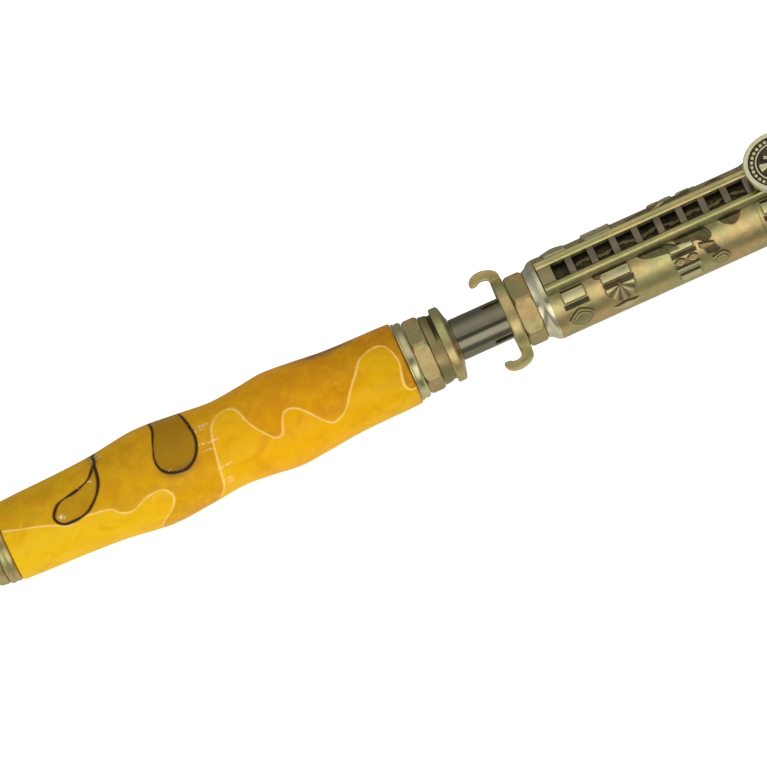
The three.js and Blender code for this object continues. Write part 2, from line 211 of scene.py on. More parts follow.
def united(name, parts, body, finish, replaced, sharp=38):
    """One piece from several overlapping closed solids."""

    def loose(points, faces):
        mesh = bpy.data.meshes.new(name)
        mesh.from_pydata((np.asarray(points) * MM).tolist(), [], faces)
        solid = bpy.data.objects.new(name, mesh)
        scene.collection.objects.link(solid)
        return solid

    whole = loose(*parts[0])
    others = [loose(*part) for part in parts[1:]]
    for other in others:
        modifier = whole.modifiers.new("union", "BOOLEAN")
        modifier.operation = "UNION"
        modifier.solver = "EXACT"
        modifier.object = other
    bpy.context.view_layer.update()
    evaluated = whole.evaluated_get(bpy.context.evaluated_depsgraph_get())
    joined = bpy.data.meshes.new_from_object(evaluated)
    whole.modifiers.clear()
    whole.data = joined
    for other in others:
        bpy.data.objects.remove(other)
    joined.shade_smooth()
    joined.set_sharp_from_angle(angle=math.radians(sharp))
    whole.name = name
    return settled(whole, body, finish, replaced)


def smoothstep(low, high, value):
    """0 up to low and 1 from high, and smooth in between."""
    t = np.clip((value - low) / (high - low), 0, 1)
    return t * t * (3 - 2 * t)


def falling(low, high, value):
    """1 up to low and 0 from high, and smooth in between."""
    return 1 - smoothstep(low, high, value)


def smooth_min(a, b, blend):
    """The lesser of two values, rounded where they cross."""
    return -blend * np.log(np.exp(-a / blend) + np.exp(-b / blend))


def blurred(grid, reach):
    """A grid averaged over a square, round the pen and clamped at its ends."""
    total = np.zeros(grid.shape)
    padded = np.pad(grid, ((reach, reach), (0, 0)), mode="edge")
    for k in range(2 * reach + 1):
        total += padded[k:k + grid.shape[0]]
    total /= 2 * reach + 1
    out = np.zeros(grid.shape)
    for k in range(-reach, reach + 1):
        out += np.roll(total, k, axis=1)
    return out / (2 * reach + 1)


def set_attribute(piece, name, values):
    """Gives a piece's first vertices these values, and the rest 0."""
    made = piece.data.attributes.new(name, "FLOAT", "POINT")
    full = np.zeros(len(piece.data.vertices), np.float32)
    flat = np.asarray(values, np.float32).ravel()
    full[: len(flat)] = flat
    made.data.foreach_set("value", full)


# ---- Materials ----


class Nodes:
    """A node tree. Its nodes' inputs may be values or other nodes' sockets."""

    def __init__(self, tree):
        self.tree = tree

    def set(self, node, inputs):
        for key, value in inputs.items():
            socket = node.inputs[key.replace("_", " ")] if isinstance(key, str) else node.inputs[key]
            if isinstance(value, bpy.types.NodeSocket):
                self.tree.links.new(value, socket)
            else:
                socket.default_value = value

    def node(self, kind, inputs=None, **settings):
        made = self.tree.nodes.new("ShaderNode" + kind)
        for key, value in settings.items():
            setattr(made, key, value)
        self.set(made, inputs or {})
        return made

    def between(self, value, low, high, to_low=0.0, to_high=1.0):
        inputs = {0: value, 1: low, 2: high, 3: to_low, 4: to_high}
        return self.node("MapRange", inputs, interpolation_type="SMOOTHSTEP").outputs[0]

    def mix(self, factor, first, second):
        colours = [(*c, 1) if isinstance(c, tuple) else c for c in (first, second)]
        inputs = {0: factor, 6: colours[0], 7: colours[1]}
        return self.node("Mix", inputs, data_type="RGBA").outputs[2]

    def math(self, operation, first, second=0.0):
        return self.node("Math", {0: first, 1: second}, operation=operation).outputs[0]


class Shader(Nodes):
    """A material's nodes round a principled surface."""

    def __init__(self, name, **settings):
        self.material = bpy.data.materials.new(name)
        self.material.use_nodes = True
        super().__init__(self.material.node_tree)
        self.surface = self.tree.nodes["Principled BSDF"]
        self.set(self.surface, settings)
        self.place = self.node("TexCoord").outputs["Object"]

    def noise(self, size, detail=2.0, distortion=0.0, stretch=(1, 1, 1)):
        """Noise whose features are about size millimetres across."""
        mapped = self.node("Mapping", {"Vector": self.place, "Scale": stretch}).outputs[0]
        inputs = {"Vector": mapped, "Scale": 1 / (size * MM), "Detail": detail, "Distortion": distortion}
        return self.node("TexNoise", inputs).outputs["Fac"]

    def attribute(self, name):
        return self.node("Attribute", attribute_name=name).outputs["Fac"]

    def bump(self, height, depth, strength):
        """Bump of that depth in millimetres, on the surface's normal."""
        inputs = {"Height": height, "Distance": depth * MM, "Strength": strength}
        made = self.node("Bump", inputs)
        if self.surface.inputs["Normal"].links:
            self.tree.links.new(self.surface.inputs["Normal"].links[0].from_socket, made.inputs["Normal"])
        self.set(self.surface, {"Normal": made.outputs[0]})


def antique_brass(name, light, dark, roughness, shade_and_patina_reach=0.7, turning=0.35):
    """Aged brass: patches of two tones, dark patina with painted shade in the corners and hollows, turning
    marks and a fine grain.
    """
    s = Shader(name, Metallic=1.0)
    patches = s.between(s.noise(4.5, 3), 0.38, 0.62)
    mottle = s.between(s.noise(0.9, 3), 0.35, 0.7)
    tone = s.mix(patches, light, dark)
    tone = s.mix(s.math("MULTIPLY", mottle, 0.22), tone, (0.30, 0.23, 0.10))
    # Painted shade with the patina: ambient occlusion darkens corners, grooves and the gaps between rings.
    occlusion = s.node("AmbientOcclusion", {"Distance": shade_and_patina_reach * MM}, samples=6, only_local=True)
    corner = s.between(occlusion.outputs["AO"], 0.25, 0.85, 0.9, 0.0)
    patina_and_shade = s.math("MAXIMUM", corner, s.attribute("recess"))
    smudge = s.between(s.noise(1.7, 4), 0.3, 0.75, 0.87, 1.0)
    patina_and_shade = s.math("MULTIPLY", patina_and_shade, smudge)
    tone = s.mix(s.attribute("worn"), tone, (0.72, 0.69, 0.40))
    colour = s.mix(patina_and_shade, tone, (0.036, 0.028, 0.02))
    rough = s.between(s.noise(1.3, 4), 0.3, 0.7, roughness - 0.05, roughness + 0.09)
    rough = s.math("ADD", rough, s.math("MULTIPLY", patina_and_shade, 0.3))
    s.set(s.surface, {"Base Color": colour, "Roughness": rough})
    marks = s.noise(0.16, 2, stretch=(1, 0.06, 0.06))
    s.bump(marks, 0.006, turning)
    s.bump(s.noise(0.35, 4), 0.012, 0.5)
    return s.material


def dark_sleeve():
    """Polished gunmetal plating with the faintest draw marks."""
    s = Shader("gunmetal", Metallic=1.0)
    haze = s.between(s.noise(3.0, 3), 0.3, 0.7)
    s.set(s.surface, {
        "Base Color": s.mix(haze, (0.225, 0.23, 0.16), (0.235, 0.205, 0.14)),
        "Roughness": s.between(s.noise(0.8, 3, stretch=(0.3, 1, 1)), 0.3, 0.7, 0.05, 0.10),
    })
    s.bump(s.noise(0.12, 2, stretch=(1, 0.05, 0.05)), 0.001, 0.2)
    return s.material


def marbled_resin():
    """Translucent golden resin in two layers, with pale and black threads where the layers meet."""
    s = Shader("resin", Subsurface_Weight=0.1, Subsurface_Scale=1.5 * MM, Subsurface_Radius=(1.0, 0.4, 0.05),
               IOR=1.45, Specular_IOR_Level=0.12, Coat_Weight=0.06, Coat_Roughness=0.2)
    x = s.node("SeparateXYZ", {0: s.place}).outputs[0]
    along = s.between(x, -0.060, 0.0)
    bright = s.mix(along, (0.80, 0.485, 0.008), (0.82, 0.40, 0.001))
    deep = s.mix(along, (0.56, 0.30, 0.004), (0.64, 0.25, 0.001))
    beside_ring = s.between(x, -0.016, 0.004)
    bright = s.mix(beside_ring, bright, (0.69, 0.385, 0.002))
    deep = s.mix(beside_ring, deep, (0.46, 0.18, 0.001))
    swirl = s.between(s.noise(6.0, 4, 1.2, stretch=(0.6, 1, 1)), 0.36, 0.66)
    blend = s.math("ADD", s.math("MULTIPLY", s.attribute("deep"), 0.78), s.math("MULTIPLY", swirl, 0.22))
    colour = s.mix(blend, bright, deep)
    cloud = s.between(s.noise(2.2, 4, 0.8), 0.35, 0.75)
    colour = s.mix(s.math("MULTIPLY", cloud, 0.3), colour, (0.90, 0.53, 0.006))
    ember = s.between(s.noise(3.4, 4, 1.0, stretch=(0.7, 1, 1)), 0.5, 0.72)
    colour = s.mix(s.math("MULTIPLY", ember, 0.42), colour, (0.62, 0.25, 0.002))
    colour = s.mix(s.attribute("inside"), colour, (0.28, 0.145, 0.004))
    wisps = s.between(s.noise(1.6, 4, 1.5), 0.3, 0.6, 0.55, 1.0)
    colour = s.mix(s.math("MULTIPLY", s.attribute("smear"), wisps), colour, (0.10, 0.065, 0.04))
    broken = s.between(s.noise(0.9, 3), 0.25, 0.55, 0.5, 1.0)
    colour = s.mix(s.math("MULTIPLY", s.attribute("pale"), broken), colour, (0.93, 0.60, 0.16))
    # The white whiskers, with the painted glint.
    patchy = s.between(s.noise(0.55, 2), 0.4, 0.56)
    colour = s.mix(s.math("MULTIPLY", s.attribute("white"), patchy), colour, (0.95, 0.80, 0.52))
    ink = s.mix(s.between(s.noise(0.7, 3), 0.55, 0.75), (0.028, 0.013, 0.009), (0.13, 0.05, 0.04))
    colour = s.mix(s.attribute("black"), colour, ink)
    fleck = s.between(s.noise(0.5, 1), 0.74, 0.8)
    colour = s.mix(s.math("MULTIPLY", fleck, 0.35), colour, (0.95, 0.75, 0.35))
    s.set(s.surface, {"Base Color": colour, "Roughness": s.between(s.noise(2.0, 4), 0.3, 0.7, 0.30, 0.42)})
    s.bump(s.noise(0.25, 3), 0.004, 0.35)
    return s.material


def plain_metal(name, first, second, roughness):
    """A machined metal of two close tones with turning marks."""
    s = Shader(name, Metallic=1.0)
    s.set(s.surface, {
        "Base Color": s.mix(s.between(s.noise(2.5, 3), 0.35, 0.65), first, second),
        "Roughness": s.between(s.noise(0.9, 3), 0.3, 0.7, roughness - 0.05, roughness + 0.07),
    })
    s.bump(s.noise(0.15, 2, stretch=(1, 0.06, 0.06)), 0.004, 0.4)
    return s.material


def black_plastic():
    """Moulded plastic with a soft shine."""
    s = Shader("black_plastic", IOR=1.47)
    s.set(s.surface, {
        "Base Color": s.mix(s.noise(1.5, 3), (0.02, 0.021, 0.024), (0.035, 0.036, 0.04)),
        "Roughness": s.between(s.noise(0.8, 3), 0.3, 0.7, 0.42, 0.55),
    })
    s.bump(s.noise(0.2, 3), 0.006, 0.4)
    return s.material


# Each brass's two tones and roughness, and for some the reach of its patina and painted corner shade and its
# turning marks.
brass_looks = {
    "antique_brass": ((0.66, 0.50, 0.22), (0.53, 0.51, 0.22), 0.34),
    "pale_brass": ((0.84, 0.79, 0.55), (0.76, 0.71, 0.46), 0.16),
    "trim_brass": ((0.80, 0.72, 0.42), (0.62, 0.57, 0.28), 0.26, 0.25),
    "nut_brass": ((0.62, 0.45, 0.20), (0.50, 0.47, 0.21), 0.46, 0.7, 0.1),
    "clip_brass": ((0.55, 0.45, 0.19), (0.44, 0.42, 0.17), 0.26),
    "foot_brass": ((0.42, 0.32, 0.17), (0.33, 0.30, 0.15), 0.36),
    # The rungs' brass is darkened as painted shade between the rails.
    "rung_brass": ((0.24, 0.20, 0.14), (0.17, 0.15, 0.11), 0.34),
    "cast_brass": ((0.62, 0.46, 0.20), (0.50, 0.47, 0.20), 0.32, 0.7, 0.12),
    "badge_brass": ((0.90, 0.87, 0.60), (0.83, 0.80, 0.52), 0.28, 0.4, 0.0),
}
brasses = {name: antique_brass(name, *look) for name, look in brass_looks.items()}
finishes = {
    **brasses,
    "gunmetal": dark_sleeve(),
    "resin": marbled_resin(),
    "tube_brass": plain_metal("tube_brass", (0.72, 0.52, 0.20), (0.66, 0.47, 0.17), 0.32),
    "steel": plain_metal("steel", (0.56, 0.57, 0.58), (0.48, 0.48, 0.49), 0.28),
    "black_plastic": black_plastic(),
}


# ---- Writing end ----

nozzle_start = span("nozzle_tip")[0]
ring_start = span("tip_ring")[0]
point_start = span("refill_tip")[0]
nozzle_outline = [
    (0, 1.9), (0.3, 2.2), (1.6, 2.35), (2.0, 1.95), (3.0, 2.15), (10.4, 4.35), (10.7, 4.95), (12.2, 4.95),
    (12.6, 4.6), (13.2, 4.6), (13.5, 5.35), (14.66, 5.53), (14.96, 5.4), (14.96, 3.55), (22.0, 3.55),
]
turned("nozzle", [(nozzle_start + s, r) for s, r in nozzle_outline], "lower_half", "antique_brass",
       ["nozzle_tip"], bore=1.25, corner=0.14)

ring_outline = [
    (0, 5.5), (0.3, 5.75), (0.75, 5.75), (0.85, 5.62), (1.0, 5.62), (1.1, 5.75), (1.6, 5.75), (1.96, 5.55),
]
turned("tip_collar", [(ring_start + s, r) for s, r in ring_outline], "lower_half", "antique_brass",
       ["tip_ring"], bore=3.6)

point_outline = [(0, 0.06), (0.1, 0.3), (0.5, 0.5), (2.4, 1.15), (8.96, 1.15)]
turned("refill_point", [(point_start + s, r) for s, r in point_outline], "refill", "tube_brass",
       ["refill_tip"], columns=64)


# ---- Resin barrel ----

BARREL_LENGTH = 63.6
BARREL_WIDEST = 7.47

# The hourglass outline, as (distance from the writing end, radius).
barrel_outline = [
    (0, 5.9), (4.3, 6.1), (10.2, 6.27), (16, 6.62), (21.5, 7.34), (24.8, BARREL_WIDEST), (30.2, 7),
    (35, 6.57), (39.5, 6.92), (43.6, 7.37), (48.2, 7.05), (53.9, 6.52), (62.8, 6.32), (63.56, 5.93),
]
# The threads in the resin, as (distance from the writing end, degrees up from the middle of the view).
teardrop = [
    (16, 50), (14.6, 34), (12.4, 26), (9.5, 21), (8, 8), (8, -1), (8.7, -8), (9.9, -10), (11.6, -9),
    (13.1, -4), (14.9, 10), (15.9, 26), (16.2, 46),
]
horseshoe = [
    (25.8, 76), (25.9, 56), (25.2, 35), (24.6, 17), (24.8, 5), (25.8, -3), (27.4, -7), (28.8, -6),
    (30.1, 1), (31, 13), (31.3, 27), (31, 47), (30.3, 78), (29.9, 95), (28.6, 108), (27, 104), (26, 91),
    (25.8, 76),
]
first_seam = [
    (0.3, 17), (2.9, 9), (5.8, 1), (7.7, -6), (9.5, -13), (11.6, -10), (14.6, -13), (16, -16), (17, -25),
    (18.5, -28), (20.1, -23), (21.5, -18), (23.3, -17), (24.3, -20), (24.9, -30), (24.2, -43), (22.1, -62),
    (21.5, -85), (23.5, -108), (20, -128), (14, -120), (9, -138), (5, -165), (0.3, -172),
]
second_seam = [
    (63.4, -160), (58, -150), (52, -168), (46, -150), (40, -128), (36, -146), (31.5, -126), (29.9, -98),
    (31.3, -72), (32.3, -49), (32.6, -30), (33.1, -4), (33.5, 15), (34.2, 31), (35.7, 42), (37.1, 43),
    (38.3, 34), (39.3, 10), (40.8, -8), (41.9, -17), (43, -16), (43.7, -4), (44.4, 5), (45.4, 7), (46.6, 3),
    (48, -9), (49.2, -22), (50.4, -31), (51.8, -29), (53.1, -20), (54.6, -2), (56.1, 13), (57.5, 29),
    (59, 36), (60.4, 38), (61.6, 33), (62.3, 20), (62.6, 4), (62.2, -13), (62, -27), (62.6, -37),
    (BARREL_LENGTH, -38),
]
stem = [(16.1, 46), (16.4, 58), (16.3, 70), (16.7, 84), (17.9, 98), (18.3, 113), (19.9, 126), (22.6, 131)]
# Fine broken whiskers, most of them across the second seam.
whiskers = [
    [(31.1, 36.5), (33.6, 36)], [(31.9, 34.2), (34.4, 34.8)], [(31.4, 30.5), (32.9, 30)],
    [(31.2, 12.5), (32.4, 12)], [(32.2, 10.5), (34.3, 11.2)], [(31.6, 3.2), (33.1, 2.2)],
    [(32.6, -25), (34.6, -24)], [(32.2, -44), (33.9, -43)], [(32.9, -47.5), (34.4, -49)],
    [(32.4, -52), (33.6, -53)], [(15.4, 62), (17.6, 60)], [(15.8, 67), (17.2, 69)],
    [(9.2, 47), (10.1, 46)], [(14.2, 33), (14.9, 28)],
]


def carried_round(curve, shift, turn, flip=False):
    """The same thread again elsewhere on the barrel, for the side away from the camera."""
    return [((BARREL_LENGTH - s if flip else s) + shift, angle + turn) for s, angle in curve]


loops = [teardrop, horseshoe, carried_round(teardrop, -6, 185, True), carried_round(horseshoe, 14, 155)]


def barrel_radius(distance):
    """The hourglass outline's radius at a distance from the writing end."""
    curve = through(barrel_outline, 24)
    return np.interp(distance, curve[:, 0], np.minimum(curve[:, 1], BARREL_WIDEST))


def on_barrel(distance, angle_up):
    """The point on the barrel's surface at a distance and an angle up from the middle of the view."""
    r = barrel_radius(distance)
    turn = np.radians(FACING - angle_up)
    return np.stack([distance, r * np.cos(turn), r * np.sin(turn)], -1)


def distance_to(curves, points):
    """How far each point is from the nearest of some threads on the barrel."""
    samples = []
    for curve in curves:
        fine = through(curve, 60)
        samples.append(on_barrel(fine[:, 0], fine[:, 1]))
    samples = np.vstack(samples)
    tree = KDTree(len(samples))
    for k, sample in enumerate(samples):
        tree.insert(sample, k)
    tree.balance()
    return np.array([tree.find(point)[2] for point in points])


def within(loop, u, v):
    """Which of the points (u, v) are inside a loop."""
    hit = np.zeros(u.shape, bool)
    for (au, av), (bu, bv) in zip(loop, [*loop[1:], loop[0]]):
        if av == bv:
            continue
        crosses = (av > v) != (bv > v)
        hit ^= crosses & (u < (bu - au) * (v - av) / (bv - av) + au)
    return hit


def resin_barrel():
    """The barrel's mesh, and for each of its outer points the distance along and the angle up."""
    start, end = span("lower_barrel")
    rows, columns = 462, 336
    stations = np.linspace(0, end - start, rows)
    x, r = bored(stations, np.repeat(barrel_radius(stations)[:, None], columns, axis=1), HUB_BORE)
    made = rings("resin_barrel", start + x, r, "lower_half", "resin", ["lower_barrel"])
    return made, *np.meshgrid(stations, angles_up(columns), indexing="ij")


def laps(loop):
    """A loop's smooth outline, once for each way of counting the angle round the pen."""
    return [through([(s, angle + lap) for s, angle in loop], 8).tolist() for lap in (-360, 0, 360)]


def blob(s, up, middle, angle, length, width, power=2):
    """A soft spot, 1 in the middle."""
    return np.exp(-(((s - middle) / length) ** 2) - ((up - angle) / width) ** power)


def threads(s, up):
    """The black and pale threads, the white whiskers with a painted glint in the teardrop, and the haze
    along the black ones.
    """
    surface = on_barrel(s.ravel(), up.ravel())
    weight = 1 + 0.35 * np.sin(s.ravel() * 1.7) * np.sin(up.ravel() / 19)
    from_black = distance_to([*loops, stem], surface)
    black = falling(0.12, 0.32, from_black / weight)
    pale = falling(0.04, 0.21, distance_to([first_seam, second_seam], surface) / weight)
    white = 0.8 * falling(0.02, 0.13, distance_to(whiskers, surface)).reshape(s.shape)
    # A painted glint: a white spot inside the teardrop's left end.
    white += blob(s, up, 8.9, 1, 0.45, 2.6)
    haze = np.exp(-((from_black.reshape(s.shape) / 0.75) ** 2))
    return black, pale, white, haze


def layers(s, up):
    """How dark the resin is inside the loops, and where its deep layer shows between the two seams."""
    inside, bright = np.zeros(s.shape), np.zeros(s.shape)
    for loop, depth in zip(loops, (0.42, 0.75, 0.42, 0.75)):
        for outline in laps(loop):
            inside = np.maximum(inside, depth * within(outline, s, up))
    writing_end = [(-3, 20), *first_seam, (-3, -172)]
    coupling_end = [*second_seam, (67, -40), (67, -160)]
    for outline in laps(writing_end) + laps(coupling_end):
        bright = np.maximum(bright, within(outline, s, up))
    return inside, blurred(1 - bright, 2)


def stains(s, up, haze):
    """Smoky marks: by the teardrop's stem, near the coupling, at the end and under the horseshoe."""
    stain = 0.8 * blob(s, up, 16.3, 68, 0.8, 19, 4)
    stain = np.maximum(stain, 0.85 * blob(s, up, 52.0, 74, 3.0, 11))
    stain = np.maximum(stain, 0.85 * blob(s, up, 54.8, 78, 3.0, 13))
    stain += 0.3 * smoothstep(63.1, 63.5, s)
    under_horseshoe = (np.abs(s - 27.8) < 4) * (up > -40) * falling(-6, 8, up)
    return stain + 0.6 * haze * under_horseshoe


def marbled_barrel():
    """The resin barrel with all its marks, as attributes that its material reads."""
    made, s, up = resin_barrel()
    black, pale, white, haze = threads(s, up)
    inside, deep = layers(s, up)
    attributes = {
        "black": black, "pale": pale, "white": white, "inside": inside, "deep": deep,
        "smear": stains(s, up, haze),
    }
    for name, values in attributes.items():
        set_attribute(made, name, np.clip(values, 0, 1))


marbled_barrel()


# ---- Lower coupling ----

trim_start, trim_end = span("lower_trim_ring")
trim_outline = [
    (trim_start, 5.92), (trim_start + 0.08, 6.02), (trim_start + 0.28, 6.02), (trim_start + 0.4, 5.84),
    (trim_end - 0.35, 5.9), (trim_end, 5.62),
]
turned("trim_ring", trim_outline, "lower_half", "trim_brass", ["lower_trim_ring"], bore=HUB_BORE)

NUT_TURN = 42.5  # one corner's angle


def hex_nut(name, node, corner, body):
    """A hexagon nut with both ends chamfered round its corners and eased along its flats."""
    start, end = span(node)
    width = end - start
    offset = (angles(360, 360) - NUT_TURN) % 60 - 30
    flat = corner * math.cos(math.radians(30))
    hexagon = smooth_min(flat / np.cos(np.radians(offset)), corner * 0.985, 0.03)
    x = np.linspace(0, 1, 13) ** 1.5 * 0.62
    x = np.concatenate([x, width - x[::-1]])
    from_end = np.minimum(x, width - x)
    chamfer = corner - 0.5 + 0.95 * from_end
    easing = 0.10 - np.sqrt(np.clip(0.2 * from_end, 0, 0.0101))
    r = smooth_min(hexagon[None, :], chamfer[:, None], 0.03) - np.clip(easing, 0, 1)[:, None]
    rings(name, *bored(start + x, r, HUB_BORE), body, "nut_brass", [node], sharp=30)


hex_nut("lower_nut", "lower_coupling_nut", 5.9, "lower_half")
hex_nut("upper_nut", "upper_coupling_nut", 5.63, "upper_half")


def coupling_body():
    """The neck and flange, with a crescent groove on two sides where the claws would catch."""
    start, end = span("lower_coupling_body")
    flange_end = end - 0.55
    neck_end = flange_end - 1.45
    neck_start = neck_end - 1.9
    from_groove = np.abs((angles(320, 360) - 62 + 90) % 180 - 90)
    groove = falling(24, 54, from_groove)
    profile = softened([
        (start, 3.22), (start, 3.55), (trim_start, 3.55), (trim_start, 4.0), (neck_start, 4.0),
        (neck_start, 5.2), (neck_start + 0.15, 5.34), (neck_end - 0.62, 5.34), (neck_end - 0.5, 5.30),
        (neck_end - 0.06, 5.30), (neck_end, 5.62), (neck_end + 0.16, 5.75), (flange_end - 0.28, 5.75),
        (flange_end, 5.45), (end - 0.1, 3.6), (end, 3.55), (end, 3.22),
    ], 0.07)
    x = profile[:, :1]
    beside_flange = smoothstep(neck_end - 0.75, neck_end - 0.55, x)
    beside_flange *= falling(neck_end - 0.05, neck_end + 0.02, x)
    crescents = beside_flange * groove[None, :]
    r = profile[:, 1:] - 0.72 * crescents
    made = rings("coupling_body", x[:, 0], r, "lower_half", "antique_brass", ["lower_coupling_body"])
    neck = smoothstep(neck_start - 0.1, neck_start + 0.1, x) * falling(neck_end - 0.1, neck_end, x)
    # The neck is darkened all round as soot, and the crescent grooves with patina and painted shade.
    set_attribute(made, "recess", 0.42 * neck + 0.5 * crescents)


coupling_body()


# ---- Sleeve ----

sleeve_start, sleeve_end = span("mechanism_sleeve")
SLEEVE_RADIUS = 3.175
sleeve_outline = [
    (sleeve_start, 2.8), (sleeve_start, SLEEVE_RADIUS), (sleeve_end - 0.4, SLEEVE_RADIUS), (sleeve_end, 2.8),
    (sleeve_end, 0.4),
]
turned("twist_sleeve", sleeve_outline, "twist_rotor", "gunmetal", ["mechanism_sleeve"], columns=200)


# ---- Upper coupling ----

plate_start = span("upper_coupling_nut")[0] - 1.79
plate_end = plate_start + 1.75
plate_outline = [
    (plate_start, 5.6), (plate_start + 0.2, 5.8), (plate_end - 0.25, 5.8), (plate_end - 0.04, 5.6),
]
turned("claw_ring", plate_outline, "upper_half", "antique_brass", ["claw_plate"], bore=HUB_BORE)


def claw(name, turn):
    """A hooked claw: it leaves the rim of the plate, arches outwards and curls in at its nose."""
    nose = span("claw_plate")[0]
    outline = through([
        (plate_end - 0.3, 5.0), (plate_end - 0.1, 5.9), (plate_end - 0.35, 6.8), (plate_start + 0.5, 7.42),
        (plate_start - 0.6, 7.72), (plate_start - 1.6, 7.68), (nose + 0.5, 7.35), (nose + 0.04, 6.75),
        (nose + 0.02, 6.15), (nose + 0.22, 5.9), (nose + 0.75, 5.88), (nose + 1.1, 6.0),
        (nose + 1.35, 6.16), (nose + 1.9, 6.22), (plate_start - 0.5, 6.15), (plate_start - 0.1, 5.9),
        (plate_start + 0.25, 5.0),
    ], 5).tolist()
    half_width = 1.5

    def place(x, r, across):
        return Vector((x, 0, AXIS_HEIGHT)) + outward(turn) * r + outward(turn + 90) * across

    points, faces = prism(outline, -half_width, half_width, place)
    piece_from(name, *bevelled(points, faces, 0.22), "upper_half", "antique_brass", ["claw_plate"])


claw("claw_upper", 30)
claw("claw_lower", 210)

SPIGOT_LENGTH = 6.0
spigot_end = span("cone_collar")[1]
collar_end = spigot_end - SPIGOT_LENGTH
collar_start = collar_end - 1.9
collar_outline = [
    (collar_start, 4.0), (collar_start, 5.2), (collar_start + 0.3, 5.27), (collar_start + 0.65, 5.48),
    (collar_start + 0.95, 5.74), (collar_start + 1.2, 5.97), (collar_start + 1.45, 6.1),
    (collar_end + 0.05, 6.19), (collar_end + 0.05, 4.55), (spigot_end, 4.55),
]
turned("collar", collar_outline, "upper_half", "pale_brass", ["cone_collar"],
       bore=SLEEVE_RADIUS + 0.07, corner=0.1)


# ---- Cast upper barrel and clip mount ----

GROUND = 6.18  # the cast surface's radius under its ornament
RAISED = 0.34  # how far the ornament stands over it
CLIP_AT = 3.25  # millimetres up the barrel from the middle of the view to the middle of the clip
ROUND = 2 * math.pi * CAST_RADIUS
FIRST_RUNG = 4.96  # along the cast barrel
RUNG_STEP = 3.52


def filled(u, v, outline):
    """How far outside a closed outline each point is. Inside it is less than 0."""
    away = np.full(u.shape, 1e3)
    for (au, av), (bu, bv) in zip(outline, [*outline[1:], outline[0]]):
        du, dv = bu - au, bv - av
        t = np.clip(((u - au) * du + (v - av) * dv) / (du * du + dv * dv), 0, 1)
        away = np.minimum(away, np.hypot(u - au - t * du, v - av - t * dv))
    return np.where(within(outline, u, v), -away, away)


# Relief on the side that shows, as (distance along the barrel, distance up from the middle of the view):
# bright plates, dark bars beside them, dark leaves, and lozenges and sprigs in the colour of the ground.
PLATES = [
    [(1.9, -0.1), (5.3, -0.1), (5.3, -1.7), (1.9, -1.7)],
    [(8.1, 0.2), (12.5, 0.2), (12.5, -1.3), (8.1, -1.3)],
    [(18.8, -0.6), (22.3, -0.6), (22.3, -1.5), (18.8, -1.5)],
    [(18.7, -4.2), (22.5, -4.2), (22.5, -4.9), (18.7, -4.9)],
    [(19.0, -5.6), (22.1, -5.6), (22.1, -6.8), (19.0, -6.8)],
    [(8.4, -6.1), (10.3, -5.7), (12.3, -6.1), (10.3, -6.9)],
]
BARS = [
    [(1.6, -2.0), (5.5, -2.0), (5.5, -2.9), (1.6, -2.9)],
    [(7.9, -1.5), (12.8, -1.5), (12.8, -2.2), (7.9, -2.2)],
    [(18.6, -1.7), (22.6, -1.7), (22.6, -2.5), (18.6, -2.5)],
]
LEAVES = [
    [(6.8, 0.9), (9.1, 0.9), (8.6, 0.1), (7.8, -0.4), (7.1, -0.1)],
    [(13.3, 0.9), (16.6, 0.8), (19.2, -0.2), (20.3, -1.1), (17.5, -0.9), (15, -0.4)],
    [(18.8, 0.9), (23.5, 0.9), (24.9, -0.1), (25.3, -1.2), (24.3, -1.7), (23.2, -1.0), (21.6, -0.8),
     (20.4, -0.3)],
    [(26.6, 0.9), (31.0, 0.9), (30.5, 0), (29.7, -0.8), (28.9, -1.05), (28.1, -0.7), (27.3, -0.1)],
]
SPRIGS = [
    [(1.5, -4.9), (3.5, -3.4), (5.5, -4.9), (3.5, -6.7)],
    [(18.7, -3.25), (19.6, -2.75), (20.5, -3.25), (19.6, -3.8)],
    [(20.7, -3.25), (21.6, -2.75), (22.5, -3.25), (21.6, -3.8)],
    [(23.1, -1.8), (24.9, -2.2), (25.3, -2.6), (23.4, -2.5)],
    [(24.2, -4.8), (26.2, -4.5), (26.9, -6.2), (24.8, -6.6)],
]
SHELL = (10.3, -2.3, 3.0)  # a ribbed shell: its hinge's two coordinates and its reach
HOLLOW = [(23.4, -2.7), (25.4, -2.6), (26.0, -3.8), (25.3, -4.3), (23.7, -3.9)]


def wrapped(v):
    """A distance round the cast barrel, counted from half a turn below to half a turn above."""
    return (v + ROUND / 2) % ROUND - ROUND / 2


